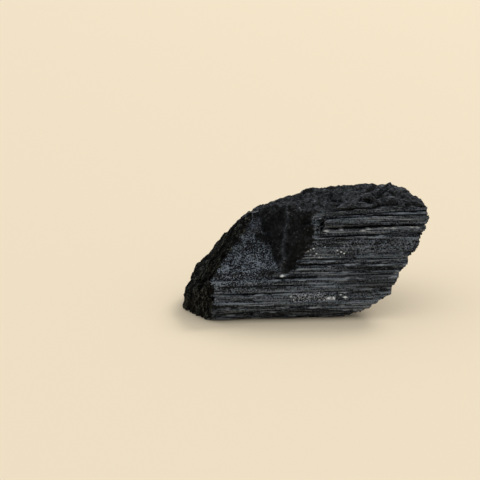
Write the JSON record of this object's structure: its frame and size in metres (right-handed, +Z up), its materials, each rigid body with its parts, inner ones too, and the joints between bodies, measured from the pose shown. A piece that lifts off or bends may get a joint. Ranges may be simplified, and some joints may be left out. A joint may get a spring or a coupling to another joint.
{
  "type": "tourmaline crystal",
  "caption": "Rough black tourmaline crystal: a striated prism lying on its side, with broken ends and top and a stepped notch in one shoulder.",
  "frame": {"origin": "middle of the flat underside that the crystal rests on, below the middle of its box", "axes": "+X along the crystal's own long axis, towards the end with stepped lanes, +Z up, +Y away from the face with the notch"},
  "size_m": [0.0586, 0.0274, 0.0303],
  "materials": {
    "black_tourmaline": "black, glassy along the striated lanes and dull on the broken faces"
  },
  "bodies": {
    "root": {"crystal": "black_tourmaline"}
  },
  "joints": []
}
